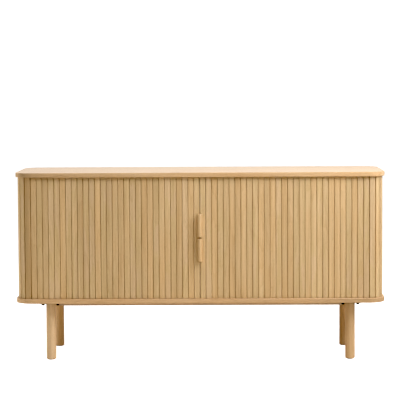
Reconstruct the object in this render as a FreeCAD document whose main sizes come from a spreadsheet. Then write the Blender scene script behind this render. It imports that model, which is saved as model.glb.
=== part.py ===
"""Oak sideboard with two tambour doors that slide round its rounded corners.

Millimetres. The origin is on the floor under the middle of the carcass, +Z is up and the doors face -Y.
"""
import FreeCAD, Part
import math
import os
import re

import Sketcher

# Driving sizes, each written once.
SIZES = {
    # Carcass boards
    "body_width": 1600,
    "body_depth": 450,
    "top_thickness": 20,
    "bottom_thickness": 20,
    "clear_height": 525,
    "corner_radius": 75,
    "edge_rounding": 2,
    "side_thickness": 16,
    "divider_thickness": 18,
    "inner_back_thickness": 12,
    "back_thickness": 6,
    "back_run_gap": 2,
    "back_lap": 15,
    "back_groove_depth": 5,
    "shelf_thickness": 18,
    "shelf_height": 252,
    "shelf_end_gap": 1,
    # Tambour slats, the canvas behind them and their track
    "overhang": 10,
    "slat_pitch": 25.1,
    "slat_gap": 1.6,
    "meeting_gap": 2.6,
    "slat_thickness": 6,
    "slat_rounding": 2,
    "shoulder_gap": 1,
    "tongue_width": 12,
    "tongue_thickness": 4,
    "track_depth": 8,
    "track_clearance": 0.5,
    "track_floor_gap": 0.3,
    "track_head_gap": 1.5,
    "canvas_thickness": 0.8,
    "canvas_margin": 6,
    "run_gap": 5,
    "parked_width": 43,
    # Pulls and their screws
    "handle_length": 98,
    "handle_width": 20,
    "handle_depth": 19,
    "handle_gap": 8,
    "handle_rounding": 3,
    "handle_relief": 0.6,
    "handle_screw_spread": 60,
    "handle_screw_inset": 6,
    "handle_screw_diameter": 3.5,
    "handle_screw_bite": 9,
    "handle_screw_head_diameter": 7,
    "handle_screw_head_height": 2.5,
    # Legs and what holds them
    "leg_diameter": 42,
    "leg_length": 243,
    "leg_end_rounding": 1.5,
    "leg_inset_side": 151,
    "leg_inset_front": 52,
    "glide_diameter": 32,
    "glide_thickness": 3,
    "plate_length": 92,
    "plate_width": 72,
    "plate_thickness": 3,
    "plate_corner": 8,
    "bolt_spread_x": 64,
    "bolt_spread_y": 44,
    "bolt_diameter": 6,
    "bolt_bite": 13,
    "bolt_head_diameter": 15,
    "bolt_collar_height": 2.5,
    "bolt_dome_height": 6,
    "hanger_diameter": 8,
    "hanger_bite_leg": 30,
    "hanger_bite_board": 10,
    # Rails under the bottom board
    "rail_end_gap": 8,
    "rail_width": 45,
    "rail_height": 21,
    "rail_plate_gap": 2,
    "rail_screw_inset": 55,
    "rail_screw_bite": 13,
    "rail_screw_diameter": 4,
    "rail_screw_head_diameter": 8,
    "rail_screw_head_height": 3,
    # Carcass fastenings
    "carcass_screw_spread": 80,
    "carcass_screw_diameter": 5,
    "carcass_screw_bite": 30,
    "carcass_screw_head_diameter": 10,
    "carcass_screw_head_height": 4,
    "back_screw_inset": 210,
    "dowel_diameter": 8,
    "dowel_bite_top": 10,
    "dowel_bite_panel": 20,
    "pin_diameter": 5,
    "pin_bite": 7,
    "pin_reach": 9,
    "pin_inset": 40,
    # Clearances
    "fit_gap": 0.15,
    "seat_gap": 0.1,
}

# Sizes worked out from the driving ones.
DERIVED = {
    "bottom_z": "glide_thickness + leg_length + plate_thickness",
    "floor_z": "bottom_z + bottom_thickness",
    "ceiling_z": "floor_z + clear_height",
    "side_x": "body_width / 2 - overhang",
    "front_y": "overhang - body_depth / 2",
    "back_y": "body_depth / 2 - overhang",
    "rear_y": "back_y - back_thickness - back_run_gap",
    "bend_radius": "corner_radius - overhang",
    "bend_x": "side_x - bend_radius",
    "front_bend_y": "front_y + bend_radius",
    "rear_bend_y": "rear_y - bend_radius",
    "track_width": "tongue_thickness + 2 * track_clearance",
    "track_outer_inset": "(slat_thickness - track_width) / 2",
    "track_outer_width": "2 * side_x - 2 * track_outer_inset",
    "track_outer_depth": "rear_y - front_y - 2 * track_outer_inset",
    "track_outer_radius": "bend_radius - track_outer_inset",
    "track_inner_inset": "track_outer_inset + track_width",
    "track_inner_width": "2 * side_x - 2 * track_inner_inset",
    "track_inner_depth": "rear_y - front_y - 2 * track_inner_inset",
    "track_inner_radius": "bend_radius - track_inner_inset",
    "slat_width": "slat_pitch - slat_gap",
    "door_start": "(meeting_gap - slat_gap) / 2",
    "slat_z": "floor_z + shoulder_gap",
    "slat_height": "clear_height - 2 * shoulder_gap",
    "tongue_z": "floor_z - track_depth + track_floor_gap",
    "tongue_height": "clear_height + 2 * track_depth - track_floor_gap - track_head_gap",
    "lining": "slat_thickness + canvas_thickness + run_gap",
    "panel_x": "side_x - lining",
    "bay_x": "panel_x - side_thickness",
    "bay_front_y": "front_y + lining",
    "bay_back_y": "rear_bend_y - inner_back_thickness",
    "shelf_z": "floor_z + shelf_height",
    "door_z": "floor_z + clear_height / 2",
    "upper_handle_z": "door_z + handle_gap / 2",
    "lower_handle_z": "door_z - handle_gap / 2 - handle_length",
    "leg_x": "body_width / 2 - leg_inset_side",
    "leg_y": "body_depth / 2 - leg_inset_front",
    "leg_top_z": "glide_thickness + leg_length",
    "rail_length": "2 * (leg_x - leg_diameter / 2 - rail_end_gap)",
    "rail_setback": "leg_inset_front + plate_width / 2 + rail_plate_gap",
    "rail_y": "body_depth / 2 - rail_setback - rail_width / 2",
    "rail_z": "bottom_z - rail_height",
    "handle_side": "handle_depth - handle_width / 2",
}

UP = FreeCAD.Vector(0, 0, 1)
ACROSS = FreeCAD.Vector(1, 0, 0)
DOORS = (("left", -1, "upper_handle"), ("right", 1, "lower_handle"))
RAIL_SCREWS = 5
BACK_SCREWS = 4

doc = FreeCAD.newDocument("sideboard")
sheet = doc.addObject("Spreadsheet::Sheet", "sizes")
for row, (name, text) in enumerate([*SIZES.items(), *((n, "=" + f) for n, f in DERIVED.items())], 1):
    sheet.set(f"A{row}", name)
    sheet.set(f"B{row}", str(text))
    sheet.setAlias(f"B{row}", name)
doc.recompute()

nodes = []


def size(name):
    """A size from the sheet, as a number."""
    return float(sheet.get(name))


def bind(thing, target, formula):
    """Tie one property to a formula in the sheet's names."""
    names = SIZES.keys() | DERIVED.keys()
    spelled = re.sub(r"[a-z_]+", lambda m: f"sizes.{m[0]}" if m[0] in names else m[0], formula)
    thing.setExpression(target, spelled)


def move(thing, x="0", y="0", z="0"):
    for letter, formula in zip("xyz", (x, y, z)):
        bind(thing, f".Placement.Base.{letter}", formula)


def keep(thing, label):
    """Name a finished sub-part."""
    thing.Label = label
    nodes.append(thing)
    return thing


def box(name, length, width, height, x, y, z):
    made = doc.addObject("Part::Box", name)
    for target, formula in (("Length", length), ("Width", width), ("Height", height)):
        bind(made, target, formula)
    move(made, x, y, z)
    return made


def cut(name, base, *tools):
    """The base less its tools, which lie clear of one another."""
    made = doc.addObject("Part::Cut", name)
    made.Base = base
    made.Tool = tools[0]
    if len(tools) > 1:
        made.Tool = doc.addObject("Part::Compound", f"{name}_tools")
        made.Tool.Links = list(tools)
    return made


def group(name, shapes):
    """Several like solids as one object."""
    made = doc.addObject("Part::Feature", name)
    made.Shape = Part.Compound(list(shapes))
    return made


def copies(shape, places):
    for place in places:
        moved = shape.copy()
        moved.Placement = place.multiply(shape.Placement)
        yield moved


def at(*points):
    return [FreeCAD.Placement(FreeCAD.Vector(*p), FreeCAD.Rotation()) for p in points]


# Sketched bodies

def new_sketch(body, name):
    """A sketch on the body's own XY plane."""
    sketch = body.newObject("Sketcher::SketchObject", name)
    plane = next(f for f in body.Origin.OriginFeatures if f.Role == "XY_Plane")
    sketch.AttachmentSupport = [(plane, "")]
    sketch.MapMode = "FlatFace"
    return sketch


def dimension(sketch, name, formula, *constraint):
    """A named size of the sketch, tied to the sheet."""
    index = sketch.addConstraint(Sketcher.Constraint(*constraint))
    sketch.renameConstraint(index, name)
    bind(sketch, f"Constraints.{name}", formula)


def rounded_rectangle(sketch, width, depth, radius):
    """A rectangle round the sketch's origin with four equal round corners."""
    first = sketch.GeometryCount
    quarter = math.pi / 2
    x = size(width) / 2 - size(radius)
    y = size(depth) / 2 - size(radius)
    arcs = []
    for turn, (cx, cy) in enumerate(((x, y), (-x, y), (-x, -y), (x, -y))):
        circle = Part.Circle(FreeCAD.Vector(cx, cy, 0), UP, size(radius))
        arcs.append(Part.ArcOfCircle(circle, turn * quarter, (turn + 1) * quarter))
        sketch.addGeometry(arcs[-1])
    for turn in range(4):
        sketch.addGeometry(Part.LineSegment(arcs[turn].EndPoint, arcs[(turn + 1) % 4].StartPoint))
    for turn in range(4):
        arc, line, following = first + turn, first + 4 + turn, first + (turn + 1) % 4
        sketch.addConstraint(Sketcher.Constraint("Tangent", arc, 2, line, 1))
        sketch.addConstraint(Sketcher.Constraint("Tangent", line, 2, following, 1))
        sketch.addConstraint(Sketcher.Constraint("Vertical" if turn % 2 else "Horizontal", line))
        if turn:
            sketch.addConstraint(Sketcher.Constraint("Equal", first, arc))
    sketch.addConstraint(Sketcher.Constraint("Symmetric", first, 3, first + 2, 3, -1, 1))
    straight_x, straight_y = f"{width} - 2 * {radius}", f"{depth} - 2 * {radius}"
    dimension(sketch, f"{width}_straight", straight_x, "DistanceX", first + 1, 3, first, 3, 2 * x)
    dimension(sketch, f"{depth}_straight", straight_y, "DistanceY", first + 3, 3, first, 3, 2 * y)
    dimension(sketch, f"{radius}_here", radius, "Radius", first, size(radius))


def rectangle(sketch, width, depth):
    """A rectangle round the sketch's origin."""
    x, y = size(width) / 2, size(depth) / 2
    corners = [FreeCAD.Vector(*c, 0) for c in ((x, y), (-x, y), (-x, -y), (x, -y))]
    for turn in range(4):
        sketch.addGeometry(Part.LineSegment(corners[turn], corners[(turn + 1) % 4]))
    for turn in range(4):
        sketch.addConstraint(Sketcher.Constraint("Coincident", turn, 2, (turn + 1) % 4, 1))
        sketch.addConstraint(Sketcher.Constraint("Vertical" if turn % 2 else "Horizontal", turn))
    sketch.addConstraint(Sketcher.Constraint("Symmetric", 0, 1, 2, 1, -1, 1))
    dimension(sketch, "width", width, "DistanceX", 1, 1, 0, 1, 2 * x)
    dimension(sketch, "depth", depth, "DistanceY", 3, 1, 0, 1, 2 * y)


def pad(body, sketch, length, downward=False):
    made = body.newObject("PartDesign::Pad", f"{sketch.Name}_pad")
    made.Profile = sketch
    made.Reversed = downward
    bind(made, "Length", length)
    doc.recompute()
    return made


def round_edges(body, base, radius, chosen):
    """Round the edges of the base feature that the test picks."""
    made = body.newObject("PartDesign::Fillet", f"{base.Name}_rounding")
    names = [f"Edge{n}" for n, edge in enumerate(base.Shape.Edges, 1) if chosen(edge)]
    made.Base = (base, names)
    bind(made, "Radius", radius)
    doc.recompute()
    return made


def level(edge):
    """True for an edge that lies at one height."""
    return abs(edge.Vertexes[0].Z - edge.Vertexes[-1].Z) < FreeCAD.Base.Precision.confusion()


# Fasteners, drawn along +Z from the face that their heads bear on

def headed(shank, length, head, head_height, gap=0):
    """A countersunk screw whose head starts at z 0, or with a gap the hole for one."""
    radius = size(shank) / 2 + gap
    top = size(head) / 2 + gap
    cone = Part.makeCone(top, radius, size(head_height) + gap)
    return cone.fuse(Part.makeCylinder(radius, length + gap)).removeSplitter()


def carcass_screw(gap=0):
    length = size("bottom_thickness") + size("carcass_screw_bite")
    return headed("carcass_screw_diameter", length, "carcass_screw_head_diameter",
                  "carcass_screw_head_height", gap)


def rail_screw(gap=0):
    length = size("rail_height") + size("rail_screw_bite")
    return headed("rail_screw_diameter", length, "rail_screw_head_diameter", "rail_screw_head_height", gap)


def handle_screw(gap=0):
    """A pan head sunk in the slat's back, with its shank through the slat into the pull."""
    head = Part.makeCylinder(size("handle_screw_head_diameter") / 2 + gap, size("handle_screw_head_height"))
    length = size("slat_thickness") + size("handle_screw_bite") + gap
    return head.fuse(Part.makeCylinder(size("handle_screw_diameter") / 2 + gap, length)).removeSplitter()


def dowel(gap=0):
    length = size("dowel_bite_top") + size("dowel_bite_panel") + 2 * gap
    base = FreeCAD.Vector(0, 0, -size("dowel_bite_panel") - gap)
    return Part.makeCylinder(size("dowel_diameter") / 2 + gap, length, base)


def plate_bolt(gap=0):
    """A bolt up through a leg plate into the board."""
    length = size("plate_thickness") + size("bolt_bite") + gap
    return Part.makeCylinder(size("bolt_diameter") / 2 + gap, length)


def dome_head():
    """The bolt's collar and rounded head, hanging below the plate."""
    radius = size("bolt_head_diameter") / 2
    collar = -size("bolt_collar_height")
    rise = size("bolt_dome_height")
    ball = (radius ** 2 + rise ** 2) / (2 * rise)
    lean = math.asin(radius / ball) / 2
    tip = collar - rise
    middle = FreeCAD.Vector(ball * math.sin(lean), 0, tip + ball * (1 - math.cos(lean)))
    start, rim = FreeCAD.Vector(), FreeCAD.Vector(radius, 0, 0)
    low_rim, bottom = FreeCAD.Vector(radius, 0, collar), FreeCAD.Vector(0, 0, tip)
    edges = [
        Part.LineSegment(start, rim).toShape(),
        Part.LineSegment(rim, low_rim).toShape(),
        Part.Arc(low_rim, middle, bottom).toShape(),
        Part.LineSegment(bottom, start).toShape(),
    ]
    return Part.Face(Part.Wire(edges)).revolve(start, UP, 360)


def hanger_bolt(gap=0):
    """A stud from inside the leg up through its plate into the board."""
    length = size("hanger_bite_leg") + size("plate_thickness") + size("hanger_bite_board") + 2 * gap
    base = FreeCAD.Vector(0, 0, -size("hanger_bite_leg") - gap)
    return Part.makeCylinder(size("hanger_diameter") / 2 + gap, length, base)


def shelf_pin(gap=0):
    """A pin along +X whose wall face is at x 0."""
    base = FreeCAD.Vector(-size("pin_reach"), 0, 0)
    length = size("pin_reach") + size("pin_bite") + gap
    return Part.makeCylinder(size("pin_diameter") / 2 + gap, length, base, ACROSS)


# Places of the fasteners

def evenly(count, end):
    """Evenly spaced places from minus end to end."""
    return [end * (2 * n / (count - 1) - 1) for n in range(count)]


def upright_places(z):
    """Where the inner sides, the divider and the inner back are fastened to top and bottom."""
    side = size("panel_x") - size("side_thickness") / 2
    spread = size("carcass_screw_spread")
    back = size("rear_bend_y") - size("inner_back_thickness") / 2
    points = [(x, y, z) for x in (-side, 0, side) for y in (-spread, 0, spread)]
    points += [(x, back, z) for x in evenly(BACK_SCREWS, size("bay_x") - size("back_screw_inset"))]
    return at(*points)


def leg_places(z):
    return at(*((i * size("leg_x"), j * size("leg_y"), z) for j in (-1, 1) for i in (-1, 1)))


def bolt_places(z):
    half_x, half_y = size("bolt_spread_x") / 2, size("bolt_spread_y") / 2
    corners = at(*((i * half_x, j * half_y, 0) for j in (-1, 1) for i in (-1, 1)))
    return [leg.multiply(corner) for leg in leg_places(z) for corner in corners]


def rail_screw_places(z):
    row = evenly(RAIL_SCREWS, size("rail_length") / 2 - size("rail_screw_inset"))
    return at(*((x, j * size("rail_y"), z) for j in (-1, 1) for x in row))


def pin_places():
    z = size("shelf_z") - size("seat_gap") - size("pin_diameter") / 2
    half = FreeCAD.Rotation(UP, 180)
    near = size("divider_thickness") / 2
    walls = ((size("bay_x"), False), (near, True), (-near, False), (-size("bay_x"), True))
    return [
        FreeCAD.Placement(FreeCAD.Vector(x, y, z), half if turned else FreeCAD.Rotation())
        for y in (size("front_bend_y") + size("pin_inset"), size("bay_back_y") - size("pin_inset"))
        for x, turned in walls
    ]


def handle_screw_places(sign, height):
    """Along -Y from the back of a lead slat, one above the other."""
    forward = FreeCAD.Rotation(ACROSS, 90)
    x = sign * size("handle_screw_inset")
    y = size("front_y") + size("slat_thickness")
    heights = [height + half * size("handle_screw_spread") / 2 for half in (-1, 1)]
    return [FreeCAD.Placement(FreeCAD.Vector(x, y, z), forward) for z in heights]


# Path of a door: the back faces of its slats, from the meeting line round to the rear

def path_place(distance):
    """Place of a slat that far along the right door's path, turned so that its front faces out."""
    depth = size("slat_thickness")
    radius = size("bend_radius") - depth
    bend = radius * math.pi / 2
    side = size("rear_bend_y") - size("front_bend_y")
    if distance <= size("bend_x"):
        return path_point(distance, size("front_y") + depth, 0)
    distance -= size("bend_x")
    if distance <= bend:
        turn = distance / radius
        x = size("bend_x") + radius * math.sin(turn)
        return path_point(x, size("front_bend_y") - radius * math.cos(turn), turn)
    distance -= bend
    if distance <= side:
        return path_point(size("side_x") - depth, size("front_bend_y") + distance, math.pi / 2)
    distance -= side
    if distance <= bend:
        turn = distance / radius
        x = size("bend_x") + radius * math.cos(turn)
        return path_point(x, size("rear_bend_y") + radius * math.sin(turn), math.pi / 2 + turn)
    return path_point(size("bend_x") - distance + bend, size("rear_y") - depth, math.pi)


def path_point(x, y, turn):
    return FreeCAD.Placement(FreeCAD.Vector(x, y, 0), FreeCAD.Rotation(UP, math.degrees(turn)))


def path_length():
    bend = (size("bend_radius") - size("slat_thickness")) * math.pi
    return size("bend_x") + bend + size("rear_bend_y") - size("front_bend_y")


def mirrored(place):
    """The same place on the left door."""
    x, y, z = place.Base
    turn = place.Rotation.multVec(ACROSS)
    angle = -math.degrees(math.atan2(turn.y, turn.x))
    return FreeCAD.Placement(FreeCAD.Vector(-x, y, z), FreeCAD.Rotation(UP, angle))


def edge_along(start, end, inward):
    """Lines and arcs of the path between two distances, moved towards the inside."""
    radius = size("bend_radius") - size("slat_thickness")
    bend = radius * math.pi / 2
    side = size("rear_bend_y") - size("front_bend_y")
    stops = [size("bend_x"), bend, side, bend]
    marks = [sum(stops[: n + 1]) for n in range(len(stops))]
    cuts = [start, *(m for m in marks if start < m < end), end]

    def point(distance):
        return path_place(distance).multVec(FreeCAD.Vector(0, inward, 0))

    for a, b in zip(cuts, cuts[1:]):
        middle = (a + b) / 2
        straight = middle < marks[0] or marks[1] < middle < marks[2] or middle > marks[3]
        if straight:
            yield Part.LineSegment(point(a), point(b)).toShape()
        else:
            yield Part.Arc(point(a), point(middle), point(b)).toShape()


def canvas_strip(start, end):
    """The canvas glued to the slats' backs between two distances along the right door's path."""
    outer = list(edge_along(start, end, 0))
    inner = list(edge_along(start, end, size("canvas_thickness")))
    ends = [
        Part.LineSegment(outer[0].Vertexes[0].Point, inner[0].Vertexes[0].Point).toShape(),
        Part.LineSegment(outer[-1].Vertexes[-1].Point, inner[-1].Vertexes[-1].Point).toShape(),
    ]
    outline = Part.Wire(Part.__sortEdges__([*outer, *inner, *ends]))
    margin = size("canvas_margin")
    strip = Part.Face(outline).extrude(UP * (size("slat_height") - 2 * margin))
    strip.translate(UP * (size("slat_z") + margin))
    return strip


# Boards

def track_board(name, thickness, downward):
    """A board with rounded corners and the slats' track in the face at its origin."""
    body = doc.addObject("PartDesign::Body", f"{name}_body")
    outline = new_sketch(body, f"{name}_outline")
    rounded_rectangle(outline, "body_width", "body_depth", "corner_radius")
    board = pad(body, outline, thickness, downward)
    rounded = round_edges(body, board, "edge_rounding", level)
    track = new_sketch(body, f"{name}_track")
    bind(track, ".AttachmentOffset.Base.y", "(front_y + rear_y) / 2")
    for wall in ("outer", "inner"):
        rounded_rectangle(track, f"track_{wall}_width", f"track_{wall}_depth", f"track_{wall}_radius")
    groove = body.newObject("PartDesign::Pocket", f"{name}_groove")
    groove.Profile = track
    groove.Reversed = not downward
    bind(groove, "Length", "track_depth")
    doc.recompute()
    if groove.Shape.Volume >= rounded.Shape.Volume:
        raise RuntimeError(f"the track of {name} cuts nothing")
    return body


def fastened(label, fastener, places):
    """Fasteners at their places as a sub-part, and the holes that they go into."""
    keep(group(f"{label}_group", copies(fastener(), places)), label)
    return group(f"{label}_holes", copies(fastener(size("fit_gap")), places))


def carcass():
    screw_holes = fastened("carcass_screws", carcass_screw, upright_places(size("bottom_z")))
    dowel_holes = fastened("carcass_dowels", dowel, upright_places(size("ceiling_z")))
    pin_holes = fastened("shelf_pins", shelf_pin, pin_places())
    rail_holes = fastened("rail_screws", rail_screw, rail_screw_places(size("rail_z")))
    bolt_holes = group("bolt_holes", copies(plate_bolt(size("fit_gap")), bolt_places(size("leg_top_z"))))
    hanger_holes = fastened("leg_hanger_bolts", hanger_bolt, leg_places(size("leg_top_z")))

    back_groove = box("back_groove", "2 * (bend_x + back_lap + fit_gap)", "back_thickness + 2 * fit_gap",
                      "clear_height + 2 * back_groove_depth", "-bend_x - back_lap - fit_gap",
                      "back_y - back_thickness - fit_gap", "floor_z - back_groove_depth")
    top = track_board("top_board", "top_thickness", False)
    move(top, z="ceiling_z")
    keep(cut("top_cut", top, back_groove, dowel_holes), "top_panel")
    bottom = track_board("bottom_board", "bottom_thickness", True)
    move(bottom, z="floor_z")
    under_holes = (screw_holes, rail_holes, bolt_holes, hanger_holes)
    keep(cut("bottom_cut", bottom, back_groove, *under_holes), "bottom_panel")

    for side, x in (("left", "-panel_x"), ("right", "bay_x")):
        panel = box(f"{side}_side_board", "side_thickness", "rear_bend_y - front_bend_y", "clear_height",
                    x, "front_bend_y", "floor_z")
        keep(cut(f"{side}_side_cut", panel, screw_holes, dowel_holes, pin_holes), f"{side}_inner_side")
    divider = box("divider_board", "divider_thickness", "bay_back_y - bay_front_y", "clear_height",
                  "-divider_thickness / 2", "bay_front_y", "floor_z")
    keep(cut("divider_cut", divider, screw_holes, dowel_holes, pin_holes), "centre_divider")
    inner_back = box("inner_back_board", "2 * bay_x", "inner_back_thickness", "clear_height",
                     "-bay_x", "bay_back_y", "floor_z")
    keep(cut("inner_back_cut", inner_back, screw_holes, dowel_holes), "inner_back_panel")
    back = box("back_board", "2 * (bend_x + back_lap)", "back_thickness",
               "clear_height + 2 * back_groove_depth - 2 * fit_gap", "-bend_x - back_lap",
               "back_y - back_thickness", "floor_z - back_groove_depth + fit_gap")
    keep(back, "back_panel")

    for side, x in (("left", "shelf_end_gap - bay_x"), ("right", "divider_thickness / 2 + shelf_end_gap")):
        shelf = box(f"{side}_shelf_board", "bay_x - divider_thickness / 2 - 2 * shelf_end_gap",
                    "bay_back_y - front_bend_y - shelf_end_gap", "shelf_thickness",
                    x, "front_bend_y", "shelf_z")
        keep(shelf, f"{side}_shelf")

    for side, sign in (("front", "-"), ("rear", "")):
        rail = box(f"{side}_rail_board", "rail_length", "rail_width", "rail_height", "-rail_length / 2",
                   f"{sign}rail_y - rail_width / 2", "rail_z")
        keep(cut(f"{side}_rail_cut", rail, rail_holes), f"{side}_stiffening_rail")
    base(bolt_holes, hanger_holes)


# Legs and their plates

def base(bolt_holes, hanger_holes):
    def low(edge):
        return level(edge) and edge.BoundBox.Center.z < size("leg_length") / 2

    for end, y in (("front", "-leg_y"), ("rear", "leg_y")):
        for side, x in (("left", "-leg_x"), ("right", "leg_x")):
            name = f"{end}_{side}_leg"
            body = doc.addObject("PartDesign::Body", f"{name}_body")
            section = new_sketch(body, f"{name}_section")
            section.addGeometry(Part.Circle(FreeCAD.Vector(), UP, size("leg_diameter") / 2))
            section.addConstraint(Sketcher.Constraint("Coincident", 0, 3, -1, 1))
            dimension(section, "radius", "leg_diameter / 2", "Radius", 0, size("leg_diameter") / 2)
            post = pad(body, section, "leg_length")
            round_edges(body, post, "leg_end_rounding", low)
            move(body, x, y, "glide_thickness")
            keep(cut(f"{name}_cut", body, hanger_holes), name)

    plate = doc.addObject("PartDesign::Body", "plate_body")
    outline = new_sketch(plate, "plate_outline")
    rectangle(outline, "plate_length", "plate_width")
    sheet_metal = pad(plate, outline, "plate_thickness")
    round_edges(plate, sheet_metal, "plate_corner", lambda edge: not level(edge))
    four = group("plate_blanks", copies(plate.Shape, leg_places(size("leg_top_z"))))
    keep(cut("plate_cut", four, bolt_holes, hanger_holes), "leg_plates")

    bolt = plate_bolt().fuse(dome_head()).removeSplitter()
    keep(group("bolt_group", copies(bolt, bolt_places(size("leg_top_z")))), "leg_plate_bolts")
    glide = Part.makeCylinder(size("glide_diameter") / 2, size("glide_thickness"))
    keep(group("glide_group", copies(glide, leg_places(0))), "leg_glides")


# Doors

def slat_body(name):
    """One slat round its own upright axis, with its back at y 0 and a narrower tongue at each end."""
    body = doc.addObject("PartDesign::Body", f"{name}_body")
    section = new_sketch(body, f"{name}_section")
    bind(section, ".AttachmentOffset.Base.y", "-slat_thickness / 2")
    bind(section, ".AttachmentOffset.Base.z", "slat_z")
    rectangle(section, "slat_width", "slat_thickness")
    strip = pad(body, section, "slat_height")
    front = -size("slat_thickness") / 2
    round_edges(body, strip, "slat_rounding", lambda edge: not level(edge) and edge.BoundBox.YMax < front)
    tongue = new_sketch(body, f"{name}_tongue")
    bind(tongue, ".AttachmentOffset.Base.y", "-slat_thickness / 2")
    bind(tongue, ".AttachmentOffset.Base.z", "tongue_z")
    rectangle(tongue, "tongue_width", "tongue_thickness")
    pad(body, tongue, "tongue_height")
    return body


def handle(name, sign):
    """A round-fronted pull over the meeting line, eased where it passes the other door's lead slat."""
    bottom = f"{name}_z"
    body = doc.addObject("PartDesign::Body", f"{name}_body")
    section = new_sketch(body, f"{name}_section")
    half, side, depth = size("handle_width") / 2, size("handle_side"), size("handle_depth")
    right, left = FreeCAD.Vector(half, 0, 0), FreeCAD.Vector(-half, 0, 0)
    left_front, right_front = FreeCAD.Vector(-half, -side, 0), FreeCAD.Vector(half, -side, 0)
    section.addGeometry(Part.LineSegment(right, left))
    section.addGeometry(Part.LineSegment(left, left_front))
    section.addGeometry(Part.Arc(left_front, FreeCAD.Vector(0, -depth, 0), right_front))
    section.addGeometry(Part.LineSegment(right_front, right))
    section.addConstraint(Sketcher.Constraint("Coincident", 0, 2, 1, 1))
    section.addConstraint(Sketcher.Constraint("Tangent", 1, 2, 2, 1))
    section.addConstraint(Sketcher.Constraint("Tangent", 2, 2, 3, 1))
    section.addConstraint(Sketcher.Constraint("Coincident", 3, 2, 0, 1))
    section.addConstraint(Sketcher.Constraint("Horizontal", 0))
    section.addConstraint(Sketcher.Constraint("Vertical", 1))
    section.addConstraint(Sketcher.Constraint("Vertical", 3))
    section.addConstraint(Sketcher.Constraint("Symmetric", 0, 1, 0, 2, -1, 1))
    dimension(section, "width", "handle_width", "DistanceX", 0, 2, 0, 1, 2 * half)
    dimension(section, "side", "handle_side", "DistanceY", 1, 2, 1, 1, side)
    bar = pad(body, section, "handle_length")
    round_edges(body, bar, "handle_rounding", lambda edge: level(edge) and edge.BoundBox.YMin < -side / 2)
    move(body, "0", "front_y", bottom)
    relief = box(f"{name}_relief", "handle_width", "handle_relief", "handle_length",
                 "0" if sign < 0 else "-handle_width", "front_y - handle_relief", bottom)
    middle = size(bottom) + size("handle_length") / 2
    holes = fastened(f"{name}_screws", handle_screw, handle_screw_places(sign, middle))
    keep(cut(f"{name}_cut", body, relief, holes), name)
    return holes


def doors():
    pitch, start = size("slat_pitch"), size("door_start")
    front_count = int((size("bend_x") - size("parked_width") - start) / pitch)
    bend = (size("bend_radius") - size("slat_thickness")) * math.pi / 2
    side_count = math.ceil((size("bend_x") + bend) / pitch)
    rear_count = int((path_length() - bend) / pitch)
    slat_count = math.ceil(path_length() / pitch)
    plain = slat_body("plain_slat").Shape
    rows = (
        ("front_slats", 1, front_count),
        ("corner_slats", front_count, side_count),
        ("side_slats", side_count, rear_count),
        ("rear_corner_slats", rear_count, slat_count),
    )
    strips = (
        ("front_canvas", 1, front_count),
        ("tail_canvas", front_count, slat_count),
    )
    for side, sign, pull in DOORS:
        holes = handle(pull, sign)
        lead = slat_body(f"{side}_lead")
        move(lead, f"{sign} * (door_start + slat_pitch / 2)", "front_y + slat_thickness")
        keep(cut(f"{side}_lead_cut", lead, holes), f"{side}_lead_slat")
        for row, first, last in rows:
            places = [path_place(start + (n + 0.5) * pitch) for n in range(first, last)]
            places = [mirrored(p) for p in places] if sign < 0 else places
            keep(group(f"{side}_{row}_group", copies(plain, places)), f"{side}_{row}")
        for canvas, first, last in strips:
            strip = canvas_strip(start + first * pitch, start + last * pitch)
            strip = strip.mirror(FreeCAD.Vector(), ACROSS) if sign < 0 else strip
            keep(group(f"{side}_{canvas}_strip", [strip]), f"{side}_{canvas}")


def write():
    """Check every object, then write each sub-part to its own file."""
    doc.recompute()
    failed = [o.Name for o in doc.Objects if {"Invalid", "Error"} & set(o.State)]
    failed += [n.Label for n in nodes if n.Shape.isNull() or not n.Shape.isValid()]
    if failed:
        raise RuntimeError(f"not built: {failed}")
    os.makedirs("parts", exist_ok=True)
    for node in nodes:
        node.Shape.exportStep(f"parts/{node.Label}.step")


carcass()
doors()
write()
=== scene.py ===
"""Looks of the oak sideboard with two tambour doors, in metres, in the frame of its solids."""

import math
import random

import bmesh
import bpy
from mathutils import Matrix, Vector


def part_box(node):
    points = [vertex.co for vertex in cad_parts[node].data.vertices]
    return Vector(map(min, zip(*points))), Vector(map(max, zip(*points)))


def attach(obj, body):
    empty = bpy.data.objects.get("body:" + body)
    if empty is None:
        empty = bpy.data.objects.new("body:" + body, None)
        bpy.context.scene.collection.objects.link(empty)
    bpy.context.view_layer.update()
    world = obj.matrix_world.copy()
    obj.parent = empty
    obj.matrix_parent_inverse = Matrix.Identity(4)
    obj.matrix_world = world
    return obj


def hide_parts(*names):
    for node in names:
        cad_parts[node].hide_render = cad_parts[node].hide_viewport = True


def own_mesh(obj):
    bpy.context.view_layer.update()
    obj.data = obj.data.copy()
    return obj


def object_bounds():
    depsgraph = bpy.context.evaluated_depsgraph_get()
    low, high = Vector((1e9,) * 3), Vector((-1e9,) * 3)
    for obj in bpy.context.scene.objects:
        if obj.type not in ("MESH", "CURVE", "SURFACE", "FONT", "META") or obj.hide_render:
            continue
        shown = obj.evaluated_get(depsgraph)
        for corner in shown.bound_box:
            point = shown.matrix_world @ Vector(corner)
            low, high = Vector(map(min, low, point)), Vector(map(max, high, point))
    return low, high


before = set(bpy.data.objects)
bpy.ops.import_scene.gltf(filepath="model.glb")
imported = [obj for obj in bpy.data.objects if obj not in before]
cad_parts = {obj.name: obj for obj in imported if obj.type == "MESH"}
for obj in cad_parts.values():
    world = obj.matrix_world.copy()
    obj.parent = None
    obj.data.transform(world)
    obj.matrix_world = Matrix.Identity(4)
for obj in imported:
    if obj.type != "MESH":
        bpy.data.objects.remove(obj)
cad_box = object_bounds()

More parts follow.
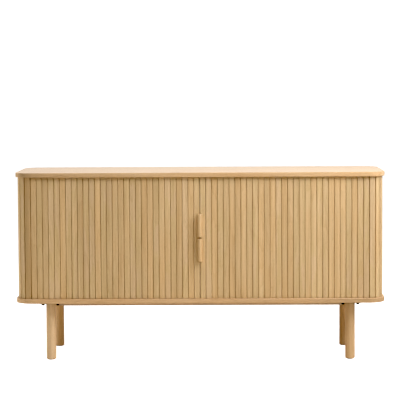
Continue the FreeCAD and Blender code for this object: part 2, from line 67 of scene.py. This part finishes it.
# Sizes read from the solids
lead_low, lead_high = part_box("right_lead_slat")
canvas_low, canvas_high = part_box("right_front_canvas")
SLAT_WIDTH = lead_high.x - lead_low.x
SLAT_DEPTH = lead_high.y - lead_low.y
SLAT_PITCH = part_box("right_front_slats")[0].x - lead_low.x
TONGUE_LOW, TONGUE_HIGH = lead_low.z, lead_high.z
CANVAS_DEPTH = canvas_high.y - canvas_low.y
CANVAS_LOW, CANVAS_HIGH = canvas_low.z, canvas_high.z
FLOOR_OF_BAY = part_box("bottom_panel")[1].z
CEILING_OF_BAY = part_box("top_panel")[0].z
TOP_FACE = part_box("top_panel")[1].z

# A door's way: along the front, round a bend, along the side and round a second bend
DOOR_START = lead_low.x - (SLAT_PITCH - SLAT_WIDTH) / 2
FRONT_END = canvas_high.x
FRONT_Y = lead_low.y
SIDE_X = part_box("right_side_slats")[1].x
FRONT_BEND_Y, REAR_BEND_Y = (corner.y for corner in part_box("right_inner_side"))
BEND_RADIUS = FRONT_BEND_Y - FRONT_Y
BEND_X = SIDE_X - BEND_RADIUS
BACK_RADIUS = BEND_RADIUS - SLAT_DEPTH
BEND_LENGTH = BACK_RADIUS * math.pi / 2
SIDE_LENGTH = REAR_BEND_Y - FRONT_BEND_Y
DOORS = (("left", -1), ("right", 1))

# Slats
SHOULDER_GAP = 0.001
SLAT_ROUNDING = 0.002
ROUNDING_STEPS = 4
TONGUE_WIDTH = 0.012
TONGUE_DEPTH = 0.004
SLAT_LEAN = math.radians(0.35)
SLAT_PROUD = 0.00015
SLAT_SHIFT = 4.0
UPRIGHT_SHARE = 0.999
SLAT_SEED = 11
chance = random.Random(SLAT_SEED)

# Boards with eased edges
BOARD_EASING = 0.0008
EASING_STEPS = 3
INNER_BOARDS = (
    "left_inner_side", "right_inner_side", "centre_divider",
    "inner_back_panel", "left_shelf", "right_shelf",
)
RAILS = ("front_stiffening_rail", "rear_stiffening_rail")

# Bolts of the leg plates
LEGS = ("front_left_leg", "front_right_leg", "rear_left_leg", "rear_right_leg")
BOLT_HEAD_RADIUS = 0.0075
BOLT_SHANK_RADIUS = 0.003
BOLT_COLLAR = 0.0025
BOLT_SIDES = 24
DOME_STEPS = 6
SOCKET_RADIUS = 0.0029
SOCKET_DEPTH = 0.003
MERGE_DISTANCE = 0.00001
SHARP_TURN = math.radians(35)


# Shader building

# Sockets of a mix node that carry its factor and its colours
MIX_FACTOR, MIX_FIRST, MIX_SECOND, MIX_RESULT = 0, 6, 7, 2


class Nodes:
    """A node tree under construction, with its nodes added one at a time."""

    def __init__(self, tree):
        self.tree = tree

    def add(self, kind, inputs, output=0, **settings):
        """One node with its settings and inputs; gives back the wanted output."""
        made = self.tree.nodes.new(kind)
        for name, value in settings.items():
            setattr(made, name, value)
        for name, value in inputs.items():
            self.set(made.inputs[name], value)
        return made.outputs[output]

    def set(self, socket, value):
        """Links an output to the socket, or gives the socket a plain value."""
        if isinstance(value, bpy.types.NodeSocket):
            self.tree.links.new(value, socket)
        else:
            socket.default_value = value

    def part(self, letter, vector):
        return self.add("ShaderNodeSeparateXYZ", {"Vector": vector}, letter)

    def seen(self):
        """One where the camera looks straight at the surface, and nought for light on its way."""
        return self.add("ShaderNodeLightPath", {}, "Is Camera Ray")

    def maths(self, operation, first, second):
        return self.add("ShaderNodeMath", {0: first, 1: second}, operation=operation)

    def spread(self, value, low, high, to_low=0.0, to_high=1.0):
        """The value carried over from one range to another."""
        inputs = {"Value": value, "From Min": low, "From Max": high, "To Min": to_low, "To Max": to_high}
        return self.add("ShaderNodeMapRange", inputs)

    def ramp(self, factor, stops):
        """A colour ramp from (position, colour) stops."""
        made = self.tree.nodes.new("ShaderNodeValToRGB")
        elements = made.color_ramp.elements
        while len(elements) < len(stops):
            elements.new(0.5)
        for element, (position, colour) in zip(elements, stops):
            element.position = position
            element.color = (*colour, 1)
        self.set(made.inputs["Fac"], factor)
        return made.outputs["Color"]

    def tones(self, factor, stops):
        """A grey ramp from (position, level) stops."""
        return self.ramp(factor, [(position, (level,) * 3) for position, level in stops])

    def mix(self, factor, first, second, blend="MIX"):
        """Two colours mixed."""
        made = self.tree.nodes.new("ShaderNodeMix")
        made.data_type = "RGBA"
        made.blend_type = blend
        for socket, value in ((MIX_FACTOR, factor), (MIX_FIRST, first), (MIX_SECOND, second)):
            if isinstance(value, tuple):
                value = (*value, 1)
            self.set(made.inputs[socket], value)
        return made.outputs[MIX_RESULT]


class Finish(Nodes):
    """A material under construction."""

    def __init__(self, name):
        self.material = bpy.data.materials.new(name)
        self.material.use_nodes = True
        super().__init__(self.material.node_tree)

    def place(self):
        return self.add("ShaderNodeTexCoord", {}, "Object")

    def own(self, name):
        """A value that the mesh itself carries."""
        return self.add("ShaderNodeAttribute", {}, "Vector", attribute_name=name)

    def drawn_out(self, vector, axis, share):
        """Coordinates that draw a pattern out along one axis."""
        scale = tuple(share if letter == axis else 1.0 for letter in "xyz")
        return self.add("ShaderNodeMapping", {"Vector": vector, "Scale": scale})

    def noise(self, vector, scale, detail, roughness=0.5):
        inputs = {"Vector": vector, "Scale": scale, "Detail": detail, "Roughness": roughness}
        return self.add("ShaderNodeTexNoise", inputs)

    def bump(self, height, distance, strength):
        inputs = {"Height": height, "Distance": distance, "Strength": strength}
        return self.add("ShaderNodeBump", inputs, "Normal")

    def done(self, **sockets):
        """The material, with its surface's sockets set."""
        surface = self.tree.nodes["Principled BSDF"]
        for name, value in sockets.items():
            self.set(surface.inputs[name.replace("_", " ")], value)
        return self.material


# Finishes

# Nearly all of a noise lies between these
NOISE_LOW, NOISE_HIGH = 0.3, 0.7

# Patterns of oak: share that draws it out along the grain, then the noise's scale, detail and roughness
FIGURE = (0.07, 11.0, 1.5, 0.5)
FIBRE = (0.012, 420.0, 3.0, 0.6)
STREAK = (0.03, 75.0, 2.0, 0.5)
PORE = (0.035, 1500.0, 1.0, 0.5)
CLOUD = (0.25, 14.0, 2.0, 0.5)

# Late wood through one year's ring, and how far ring, fibre and streak go towards the dark colour
RING_COUNT = 26.0
LATE_WOOD = ((0.0, 0.75), (0.12, 0.15), (0.6, 0.3), (1.0, 0.55))
LATE_DEPTH = 0.45
FIBRE_DEPTH = (-0.1, 0.35)
STREAK_DEPTH = (-0.2, 0.25)

# Open pores: where they start and are whole, how many more in late wood, and their cover and tone
PORE_EDGE = (0.66, 0.72)
PORE_IN_LATE = 0.06
PORE_COVER = 0.35
PORE_TONE = 0.45

# Surface of the lacquer; a relief is its depth and its strength
SMOOTHER, ROUGHER = 0.06, 0.08
FIBRE_HEIGHT = 0.35
OAK_RELIEF = (0.00012, 0.6)

# Tints over the wood, the tones from slat to slat, and how far the tint drifts within a slat
WARM_TINTS = ((0.3, (1.0, 0.97, 0.92)), (0.5, (1.0, 1.0, 1.0)), (0.7, (1.0, 1.02, 1.05)))
SLAT_TINTS = (
    (0.0, (1.0, 0.965, 0.91)),
    (0.3, (1.0, 0.985, 0.96)),
    (0.6, (0.99, 1.0, 0.985)),
    (0.85, (0.97, 0.99, 0.95)),
    (1.0, (1.0, 1.01, 1.045)),
)
SLAT_TONES = ((0.0, 0.88), (1.0, 1.0))
TINT_DRIFT = (-0.5, 0.5)

# Painted light and shade on the edges of top and bottom: share of the length from the left, and tone
# there. The top's edge is painted darker round its left bend and lighter towards the right, and the
# bottom's edge is painted darker towards its right end
PAINTED_EDGE_BLEND = 0.002
TOP_EDGE_PAINTED_SHADING = (
    (0.0, 1.03), (0.025, 0.77), (0.09, 0.9), (0.31, 0.98), (0.5, 1.07), (0.75, 1.05), (1.0, 1.06),
)
BOTTOM_EDGE_PAINTED_SHADE = ((0.0, 1.04), (0.35, 1.0), (0.77, 0.98), (0.89, 0.79))

# Boards inside the bay, light and dark
INNER_WOOD = ((0.80, 0.67, 0.52), (0.68, 0.54, 0.40))

# Steel: drawn grain, handling wear, wear's tones, and how the grain changes roughness and relief
DRAWN_SHARE = 0.1
DRAWN_SCALE, DRAWN_DETAIL = 900.0, 3.0
WEAR = (60.0, 4.0, 0.65)
WORN_TONES = (0.75, 1.2)
STEEL_SMOOTHER, STEEL_ROUGHER = 0.08, 0.12
STEEL_RELIEF = (0.00005, 0.5)

# Canvas
THREAD_SCALE = 260.0
THREAD_WANDER = 0.6
THREAD_ROUNDNESS = 0.6
SLUB_SHARE = 0.1
SLUB = (300.0, 2.0)
WEAVE_PART, SLUB_PART = 0.6, 0.4
CANVAS_COLOURS = ((0.1, (0.30, 0.17, 0.065)), (0.8, (0.56, 0.36, 0.17)))
CANVAS_ROUGHNESS = 0.9
CANVAS_RELIEF = (0.0002, 1.0)

# Moulded plastic
MOULD_GRAIN = (1800.0, 2.0)
MOULD_TONES = (0.8, 1.25)
MOULD_ROUGHNESS = (0.45, 0.65)
MOULD_RELIEF = (0.00008, 0.5)


def toned(colour, tone):
    return tuple(tone * channel for channel in colour)


def noise_ramp(low_colour, high_colour):
    """Stops of a ramp from one end of a noise to the other."""
    return ((NOISE_LOW, low_colour), (NOISE_HIGH, high_colour))


def oak(name, grain, light, dark, tints=WARM_TINTS, slats=False, roughness=0.5, gloss=0.5, painted_edge_shading=None):
    """Lacquered oak: rings, fibres and pores drawn out along the grain, with slow changes of tone."""
    wood = Finish(f"{name}_finish")
    point = wood.place()
    if slats:
        shifted = {0: point, 1: wood.own("slat_shift")}
        point = wood.add("ShaderNodeVectorMath", shifted, operation="ADD")

    def pattern(share, *kind):
        return wood.noise(wood.drawn_out(point, grain, share), *kind)

    fibre, cloud = pattern(*FIBRE), pattern(*CLOUD)
    ring = wood.maths("FRACT", wood.maths("MULTIPLY", pattern(*FIGURE), RING_COUNT), 0.0)
    late = wood.tones(ring, LATE_WOOD)
    fibre_depth = wood.spread(fibre, NOISE_LOW, NOISE_HIGH, *FIBRE_DEPTH)
    streak_depth = wood.spread(pattern(*STREAK), NOISE_LOW, NOISE_HIGH, *STREAK_DEPTH)
    depth = wood.maths("ADD", wood.maths("MULTIPLY", late, LATE_DEPTH), fibre_depth)
    depth = wood.maths("ADD", depth, streak_depth)
    colour = wood.mix(wood.add("ShaderNodeClamp", {"Value": depth}), light, dark)
    tint = cloud
    if slats:
        own_tone = wood.own("slat_tone")
        drift = wood.spread(cloud, NOISE_LOW, NOISE_HIGH, *TINT_DRIFT)
        tint = wood.maths("ADD", wood.part("Y", own_tone), drift)
        colour = wood.mix(1.0, colour, wood.tones(wood.part("X", own_tone), SLAT_TONES), "MULTIPLY")
    colour = wood.mix(1.0, colour, wood.ramp(tint, tints), "MULTIPLY")
    # Painted light and shade: faces below the given top face are toned along the board's length, lighter
    # where light falls and darker where shade falls
    if painted_edge_shading:
        face, stops = painted_edge_shading
        below = wood.spread(wood.part("Z", point), face - PAINTED_EDGE_BLEND, face, 1.0, 0.0)
        along = wood.spread(wood.part("X", point), cad_box[0].x, cad_box[1].x)
        painted_strip = wood.mix(1.0, colour, wood.tones(along, stops), "MULTIPLY")
        colour = wood.mix(below, colour, painted_strip)
    pore = wood.maths("ADD", pattern(*PORE), wood.maths("MULTIPLY", late, PORE_IN_LATE))
    open_pore = wood.spread(pore, *PORE_EDGE)
    colour = wood.mix(wood.maths("MULTIPLY", open_pore, PORE_COVER), colour, toned(dark, PORE_TONE))
    rough = wood.spread(fibre, NOISE_LOW, NOISE_HIGH, roughness - SMOOTHER, roughness + ROUGHER)
    height = wood.maths("SUBTRACT", wood.maths("MULTIPLY", fibre, FIBRE_HEIGHT), open_pore)
    return wood.done(Base_Color=colour, Roughness=rough, Specular_IOR_Level=gloss,
                     Normal=wood.bump(height, *OAK_RELIEF))


def metal(name, colour, roughness):
    """Plated or blackened steel with a fine drawn grain and a little handling wear."""
    steel = Finish(f"{name}_finish")
    point = steel.place()
    drawn = steel.noise(steel.drawn_out(point, "z", DRAWN_SHARE), DRAWN_SCALE, DRAWN_DETAIL)
    worn = steel.noise(point, *WEAR)
    shade = steel.ramp(worn, noise_ramp(*(toned(colour, tone) for tone in WORN_TONES)))
    rough = steel.spread(drawn, NOISE_LOW, NOISE_HIGH,
                         roughness - STEEL_SMOOTHER, roughness + STEEL_ROUGHER)
    return steel.done(Base_Color=shade, Metallic=1.0, Roughness=rough,
                      Normal=steel.bump(drawn, *STEEL_RELIEF))


def canvas_cloth(name):
    """Plain-woven cotton canvas: warp and weft as two crossing waves with slubs."""
    cloth = Finish(f"{name}_finish")
    point = cloth.place()

    def threads(direction):
        inputs = {"Vector": point, "Scale": THREAD_SCALE, "Distortion": THREAD_WANDER}
        wave = cloth.add("ShaderNodeTexWave", inputs, bands_direction=direction)
        return cloth.maths("POWER", wave, THREAD_ROUNDNESS)

    weave = cloth.maths("MULTIPLY", threads("X"), threads("Z"))
    slub = cloth.noise(cloth.drawn_out(point, "z", SLUB_SHARE), *SLUB)
    weave_shade = cloth.maths("MULTIPLY", weave, WEAVE_PART)
    slub_shade = cloth.maths("MULTIPLY", slub, SLUB_PART)
    colour = cloth.ramp(cloth.maths("ADD", weave_shade, slub_shade), CANVAS_COLOURS)
    return cloth.done(Base_Color=colour, Roughness=CANVAS_ROUGHNESS,
                      Normal=cloth.bump(weave, *CANVAS_RELIEF))


def moulded_plastic(name, colour):
    """Dull moulded plastic with a fine spark-eroded grain."""
    plastic = Finish(f"{name}_finish")
    grain = plastic.noise(plastic.place(), *MOULD_GRAIN)
    shade = plastic.ramp(grain, noise_ramp(*(toned(colour, tone) for tone in MOULD_TONES)))
    rough = plastic.spread(grain, NOISE_LOW, NOISE_HIGH, *MOULD_ROUGHNESS)
    return plastic.done(Base_Color=shade, Roughness=rough, Normal=plastic.bump(grain, *MOULD_RELIEF))


# The finish of each material slot
finishes = {
    "oak_board": oak("oak_board", "x", (0.64, 0.441, 0.259), (0.453, 0.281, 0.141),
                     roughness=0.34, gloss=0.6, painted_edge_shading=(TOP_FACE, TOP_EDGE_PAINTED_SHADING)),
    "oak_slat": oak("oak_slat", "z", (0.667, 0.486, 0.29), (0.477, 0.313, 0.162), SLAT_TINTS,
                    slats=True, gloss=0.35),
    "oak_leg": oak("oak_leg", "z", (0.66, 0.478, 0.304), (0.48, 0.318, 0.176)),
    "oak_handle": oak("oak_handle", "z", (0.64, 0.445, 0.248), (0.46, 0.288, 0.148),
                      roughness=0.26, gloss=0.65),
    "inner_board": oak("inner_board", "x", *INNER_WOOD),
    "back_board": oak("back_board", "x", (0.60, 0.43, 0.24), (0.46, 0.30, 0.15)),
    "rail_wood": oak("rail_wood", "x", (0.54, 0.41, 0.29), (0.41, 0.29, 0.19)),
    "beech_dowel": oak("beech_dowel", "z", (0.66, 0.45, 0.27), (0.55, 0.35, 0.19)),
    "canvas": canvas_cloth("canvas"),
    "black_steel": metal("black_steel", (0.03, 0.03, 0.032), 0.42),
    "zinc_steel": metal("zinc_steel", (0.55, 0.56, 0.57), 0.34),
    "glide_plastic": moulded_plastic("glide_plastic", (0.26, 0.175, 0.09)),
}

# Solids whose cut of wood differs from the rest of their slot, and solids with painted shade in their
# colour: the bottom board's edge and three of the legs
upright_board = oak("upright_board", "z", *INNER_WOOD)
own_finishes = {
    # Painted shade: the bottom board's edge and underside darken towards its right end
    "bottom_panel": oak("bottom_panel", "x", (0.62, 0.421, 0.247), (0.438, 0.267, 0.134),
                        painted_edge_shading=(FLOOR_OF_BAY, BOTTOM_EDGE_PAINTED_SHADE)),
    "left_inner_side": upright_board,
    "right_inner_side": upright_board,
    "centre_divider": upright_board,
    # Painted shade: both right legs are darker copies of the leg oak, and the rear left leg is a more
    # saturated copy, as wood in shade
    "front_right_leg": oak("front_right_leg", "z", (0.56, 0.376, 0.214), (0.406, 0.252, 0.127)),
    "rear_left_leg": oak("rear_left_leg", "z", (0.66, 0.458, 0.262), (0.48, 0.304, 0.15)),
    "rear_right_leg": oak("rear_right_leg", "z", (0.53, 0.354, 0.2), (0.38, 0.235, 0.117)),
}


def dress_solids():
    """Every solid gets its own finish, or else its slot's."""
    for name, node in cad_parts.items():
        for slot in node.material_slots:
            slot.material = own_finishes.get(name, finishes[slot.material.name])


# Pieces

def as_mesh(name, shape):
    """The shape as a mesh; the shape itself is used up."""
    mesh = bpy.data.meshes.new(name)
    shape.to_mesh(mesh)
    shape.free()
    return mesh


def in_scene(name, data):
    """A new object in the scene."""
    made = bpy.data.objects.new(name, data)
    bpy.context.scene.collection.objects.link(made)
    return made


def piece(name, shape, body, slot, node):
    """A finished shape as an object that rides its body and stands for a node of the frame."""
    made = in_scene(name, as_mesh(name, shape))
    made.data.materials.append(own_finishes.get(node, finishes[slot]))
    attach(made, body)
    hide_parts(node)
    return made


def add_copy(shape, template):
    """Adds a copy of a template mesh; gives back the copy's vertices."""
    first = len(shape.verts)
    shape.from_mesh(template)
    shape.verts.ensure_lookup_table()
    return shape.verts[first:]


def block(shape, low, high):
    """Adds a box between two corners."""
    low, high = Vector(low), Vector(high)
    place = Matrix.Translation((low + high) / 2) @ Matrix.Diagonal((*(high - low), 1))
    bmesh.ops.create_cube(shape, size=1, matrix=place)


def ease(shape, edges, radius, steps):
    """Rounds edges off."""
    bmesh.ops.bevel(shape, geom=edges, offset=radius, offset_type="OFFSET", segments=steps, profile=0.5,
                    affect="EDGES", material=-1, clamp_overlap=True)


def is_upright(edge):
    run = (edge.verts[1].co - edge.verts[0].co).normalized()
    return abs(run.z) > UPRIGHT_SHARE


def slat_template():
    """One slat, back on y 0 and front towards -y, with rounded front edges and a tongue at each end."""
    shape = bmesh.new()
    half = SLAT_WIDTH / 2
    bottom, top = FLOOR_OF_BAY + SHOULDER_GAP, CEILING_OF_BAY - SHOULDER_GAP
    block(shape, (-half, -SLAT_DEPTH, bottom), (half, 0, top))
    ends = [face for face in shape.faces if abs(face.normal.z) > UPRIGHT_SHARE]
    inset = (SLAT_DEPTH - TONGUE_DEPTH) / 2
    bmesh.ops.inset_individual(shape, faces=ends, thickness=inset)
    for end, height in [(end, TONGUE_HIGH if end.normal.z > 0 else TONGUE_LOW) for end in ends]:
        for corner in end.verts:
            corner.co.x *= TONGUE_WIDTH / (SLAT_WIDTH - 2 * inset)
        tongue = bmesh.ops.extrude_discrete_faces(shape, faces=[end])["faces"][0]
        for corner in tongue.verts:
            corner.co.z = height
    uprights = [edge for edge in shape.edges if is_upright(edge)]
    outer = [edge for edge in uprights if abs(edge.verts[0].co.x) > half - SLAT_ROUNDING]
    front = [edge for edge in outer if edge.verts[0].co.y < -SLAT_DEPTH / 2]
    ease(shape, front, SLAT_ROUNDING, ROUNDING_STEPS)
    return as_mesh("slat_template", shape)


def turned(x, y, turn):
    return Matrix.Translation((x, y, 0)) @ Matrix.Rotation(turn, 4, "Z")


def path_place(distance):
    """Place of a slat that far along the right door's way, from the meeting line round to the rear."""
    if distance <= BEND_X:
        return turned(distance, FRONT_Y + SLAT_DEPTH, 0)
    distance -= BEND_X
    if distance <= BEND_LENGTH:
        turn = distance / BACK_RADIUS
        x = BEND_X + BACK_RADIUS * math.sin(turn)
        return turned(x, FRONT_BEND_Y - BACK_RADIUS * math.cos(turn), turn)
    distance -= BEND_LENGTH
    if distance <= SIDE_LENGTH:
        return turned(SIDE_X - SLAT_DEPTH, FRONT_BEND_Y + distance, math.pi / 2)
    distance -= SIDE_LENGTH
    if distance <= BEND_LENGTH:
        turn = distance / BACK_RADIUS
        x = BEND_X + BACK_RADIUS * math.cos(turn)
        return turned(x, REAR_BEND_Y + BACK_RADIUS * math.sin(turn), math.pi / 2 + turn)
    return turned(BEND_X + BEND_LENGTH - distance, REAR_BEND_Y + BACK_RADIUS, math.pi)


def on_side(place, sign):
    """The same place on the door of that side."""
    if sign > 0:
        return place
    flip = Matrix.Diagonal((-1, 1, 1, 1))
    return flip @ place @ flip


def slat_row(node, template, numbers, sign, body):
    """A row of slats, each a little different in set, tone and cut of wood."""
    shape = bmesh.new()
    tone = shape.verts.layers.float_vector.new("slat_tone")
    shift = shape.verts.layers.float_vector.new("slat_shift")
    for number in numbers:
        own = add_copy(shape, template)
        lean = Matrix.Rotation(chance.uniform(-SLAT_LEAN, SLAT_LEAN), 4, "Z")
        proud = Matrix.Translation((0, chance.uniform(-SLAT_PROUD, SLAT_PROUD), 0))
        place = on_side(path_place(DOOR_START + (number + 0.5) * SLAT_PITCH), sign)
        bmesh.ops.transform(shape, matrix=place @ proud @ lean, verts=own)
        own_tone = Vector((chance.random(), chance.random(), 0))
        own_shift = Vector(chance.uniform(0, SLAT_SHIFT) for _ in range(3))
        for corner in own:
            corner[tone] = own_tone
            corner[shift] = own_shift
    return piece(f"{node}_oak", shape, body, "oak_slat", node)


def canvas(node, start, end, sign, body):
    """The canvas on the slats' backs between two distances along the door's way."""
    shape = bmesh.new()
    steps = max(1, round((end - start) / SLAT_PITCH)) * 2
    lower = []
    for step in range(steps + 1):
        place = on_side(path_place(start + (end - start) * step / steps), sign)
        lower.append(shape.verts.new(place @ Vector((0, CANVAS_DEPTH / 2, CANVAS_LOW))))
    edges = [shape.edges.new(pair) for pair in zip(lower, lower[1:])]
    made = bmesh.ops.extrude_edge_only(shape, edges=edges)["geom"]
    upper = [part for part in made if isinstance(part, bmesh.types.BMVert)]
    bmesh.ops.translate(shape, vec=(0, 0, CANVAS_HIGH - CANVAS_LOW), verts=upper)
    bmesh.ops.recalc_face_normals(shape, faces=shape.faces)
    cloth = piece(f"{node}_cloth", shape, body, "canvas", node)
    thick = cloth.modifiers.new("thickness", "SOLIDIFY")
    thick.thickness = CANVAS_DEPTH
    thick.offset = 0
    return cloth


def doors():
    """Both doors: lead slat, the front that packs together, and the slats and canvas round the bends."""
    template = slat_template()
    way = BEND_X + 2 * BEND_LENGTH + SIDE_LENGTH
    front_count = round((FRONT_END - DOOR_START) / SLAT_PITCH)
    side_count = math.ceil((BEND_X + BEND_LENGTH) / SLAT_PITCH)
    rear_count = int((way - BEND_LENGTH) / SLAT_PITCH)
    slat_count = math.ceil(way / SLAT_PITCH)
    rows = (
        ("corner_slats", front_count, side_count),
        ("side_slats", side_count, rear_count),
        ("rear_corner_slats", rear_count, slat_count),
    )
    front_start = DOOR_START + SLAT_PITCH
    tail_end = DOOR_START + slat_count * SLAT_PITCH
    for side, sign in DOORS:
        door, slide = f"{side}_door", f"{side}_door_slide"
        slat_row(f"{side}_lead_slat", template, [0], sign, door)
        front = slat_row(f"{side}_front_slats", template, range(1, front_count), sign, door)
        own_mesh(front)
        for row, first, last in rows:
            slat_row(f"{side}_{row}", template, range(first, last), sign, "carcass")
        cloth = canvas(f"{side}_front_canvas", front_start, FRONT_END, sign, door)
        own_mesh(cloth)
        canvas(f"{side}_tail_canvas", FRONT_END, tail_end, sign, "carcass")


def boards():
    """Inner boards, rails and the back, with eased edges."""
    slots = {name: "inner_board" for name in INNER_BOARDS}
    slots.update({name: "rail_wood" for name in RAILS})
    slots["back_panel"] = "back_board"
    for name, slot in slots.items():
        shape = bmesh.new()
        block(shape, *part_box(name))
        ease(shape, shape.edges[:], BOARD_EASING, EASING_STEPS)
        piece(f"{name}_eased", shape, "carcass", slot, name)


def bolt_outline():
    """Half of a plate bolt's section as (reach, height): shank, collar, dome and socket."""
    low, high = (corner.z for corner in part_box("leg_plate_bolts"))
    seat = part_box("leg_plates")[0].z
    rise = seat - BOLT_COLLAR - low
    ball = (BOLT_HEAD_RADIUS ** 2 + rise ** 2) / (2 * rise)
    outline = [(0, high), (BOLT_SHANK_RADIUS, high)]
    outline += [(BOLT_SHANK_RADIUS, seat), (BOLT_HEAD_RADIUS, seat)]
    for step in range(DOME_STEPS + 1):
        reach = BOLT_HEAD_RADIUS + (SOCKET_RADIUS - BOLT_HEAD_RADIUS) * step / DOME_STEPS
        outline.append((reach, low + ball - math.sqrt(ball ** 2 - reach ** 2)))
    socket_end = outline[-1][1] + SOCKET_DEPTH
    return [*outline, (SOCKET_RADIUS, socket_end), (0, socket_end)]


def bolt_template():
    """One plate bolt about the z axis, with a hexagon socket in its dome."""
    shape = bmesh.new()
    points = [shape.verts.new((reach, 0, height)) for reach, height in bolt_outline()]
    lines = [shape.edges.new(pair) for pair in zip(points, points[1:])]
    bmesh.ops.spin(shape, geom=points + lines, axis=(0, 0, 1), angle=2 * math.pi, steps=BOLT_SIDES,
                   use_merge=True)
    bmesh.ops.remove_doubles(shape, verts=shape.verts, dist=MERGE_DISTANCE)
    half_flat = math.pi / 6
    for corner in shape.verts:
        if abs(corner.co.xy.length - SOCKET_RADIUS) < MERGE_DISTANCE:
            turn = math.atan2(corner.co.y, corner.co.x) % (2 * half_flat) - half_flat
            corner.co.xy *= math.cos(half_flat) / math.cos(turn)
    bmesh.ops.recalc_face_normals(shape, faces=shape.faces)
    for face in shape.faces:
        face.smooth = True
    return as_mesh("bolt_template", shape)


def plate_bolts():
    """Four bolts round each leg."""
    template = bolt_template()
    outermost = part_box("leg_plate_bolts")[1]
    shape = bmesh.new()
    for leg in LEGS:
        middle = sum(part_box(leg), Vector()) / 2
        spread_x = outermost.x - abs(middle.x) - BOLT_HEAD_RADIUS
        spread_y = outermost.y - abs(middle.y) - BOLT_HEAD_RADIUS
        for across, along in ((-1, -1), (-1, 1), (1, -1), (1, 1)):
            place = (middle.x + across * spread_x, middle.y + along * spread_y, 0)
            bmesh.ops.translate(shape, vec=place, verts=add_copy(shape, template))
    made = piece("leg_plate_bolts_socketed", shape, "carcass", "black_steel", "leg_plate_bolts")
    made.data.set_sharp_from_angle(angle=SHARP_TURN)


# Stage

LENS = 139.72
EYE = Vector((0.0987, -6.867, 1.2121))
PITCH_DOWN = math.radians(3.263)
YAW = math.radians(0.829)
ROLL = math.radians(-0.309)
FRAME_DROP = -0.08

# Soft boxes: name, place, point aimed at, width and height, watts, and whether gloss mirrors it
LIGHTS = (
    ("key", (2.42, -1.26, 2.63), (0.1, -0.2, 0.5), (1.0, 0.9), 62.0, True),
    ("near_key", (1.6, -1.15, 2.0), (0.1, -0.2, 0.5), (0.8, 0.8), 12.6, True),
    ("front_top", (0.6, -0.8, 2.2), (0.3, -0.2, 0.5), (1.6, 0.5), 18.4, True),
    ("left_fill", (-2.6, 0.35, 0.9), (-0.6, 0.0, 0.5), (1.0, 1.5), 24.0, False),
    ("top", (-0.9, 0.1, 2.4), (-0.7, 0.1, 0.0), (1.6, 1.2), 14.0, True),
    ("right_rim", (2.2, 0.9, 1.2), (0.7, 0.0, 0.6), (0.8, 1.2), 7.0, True),
    ("back_fill", (0.4, 2.4, 0.42), (0.0, 0.2, 0.5), (2.2, 0.5), 12.0, False),
    ("low_reflector", (-0.75, -0.95, 0.03), (-0.5, -0.2, 0.4), (0.9, 0.3), 1.0, False),
)
WHITE = (1, 1, 1, 1)

# Light of the studio from the camera's side, 0, to behind the object, 1
SKY_STOPS = ((0.0, 0.0), (0.25, 0.33), (0.5, 0.0), (0.75, 0.0), (1.0, 0.6))
SKY_STRENGTH = 2.0
SKY_SEEN = 1.3

# Floor: its paper as the camera sees it, and what it gives back to the object
FLOOR_SPAN = 60.0
PAPER_TOOTH = (40.0, 3.0)
PAPER_TONES = (0.88, 0.91)
PAPER_ROUGHNESS = 0.9
FLOOR_GLOW = 0.85
FLOOR_FILL = 0.166
FLOOR_BOUNCE = (0.76, 0.68, 0.55)
BLACK_POINT = 0.05


def camera():
    """The photograph's view."""
    data = bpy.data.cameras.new("camera")
    data.lens = LENS
    data.shift_y = FRAME_DROP
    made = in_scene("camera", data)
    aim = Matrix.Rotation(YAW, 4, "Z") @ Matrix.Rotation(math.pi / 2 - PITCH_DOWN, 4, "X")
    made.matrix_world = Matrix.Translation(EYE) @ aim @ Matrix.Rotation(ROLL, 4, "Z")
    bpy.context.scene.camera = made


def lights():
    for name, place, aim, spread, power, mirrored in LIGHTS:
        data = bpy.data.lights.new(name, "AREA")
        data.shape = "RECTANGLE"
        data.size, data.size_y = spread
        data.energy = power
        made = in_scene(name, data)
        made.visible_glossy = mirrored
        made.location = place
        made.rotation_euler = (Vector(aim) - Vector(place)).to_track_quat("-Z", "Y").to_euler()


def sky():
    """A studio that lights the object from behind and round the camera, and that the camera sees white."""
    world = bpy.data.worlds.new("studio")
    bpy.context.scene.world = world
    world.use_nodes = True
    studio = Nodes(world.node_tree)
    direction = studio.add("ShaderNodeTexCoord", {}, "Generated")
    depth = studio.spread(studio.part("Y", direction), -1.0, 1.0)
    level = studio.maths("MULTIPLY", studio.tones(depth, SKY_STOPS), SKY_STRENGTH)
    ground = world.node_tree.nodes["Background"]
    studio.set(ground.inputs["Color"], WHITE)
    studio.set(ground.inputs["Strength"], studio.spread(studio.seen(), 0.0, 1.0, level, SKY_SEEN))


def floor():
    """Pale paper that the camera sees near white, and that throws a warmer, weaker light on the object."""
    shape = bmesh.new()
    bmesh.ops.create_grid(shape, x_segments=2, y_segments=2, size=FLOOR_SPAN / 2)
    made = in_scene("floor", as_mesh("floor", shape))
    paper = Finish("floor_paper")
    tooth = paper.noise(paper.place(), *PAPER_TOOTH)
    shade = paper.ramp(tooth, noise_ramp(*((tone,) * 3 for tone in PAPER_TONES)))
    seen = paper.seen()
    made.data.materials.append(paper.done(
        Base_Color=paper.mix(seen, FLOOR_BOUNCE, shade), Roughness=PAPER_ROUGHNESS, Emission_Color=WHITE,
        Emission_Strength=paper.spread(seen, 0.0, 1.0, FLOOR_FILL, FLOOR_GLOW)))


def print_tone():
    """Plain colour with the shadows set a little deeper, as in a printed picture."""
    view = bpy.context.scene.view_settings
    view.view_transform = "Standard"
    view.use_curve_mapping = True
    view.curve_mapping.black_level = (BLACK_POINT,) * 3
    view.curve_mapping.update()


dress_solids()
doors()
boards()
plate_bolts()
camera()
lights()
sky()
floor()
print_tone()
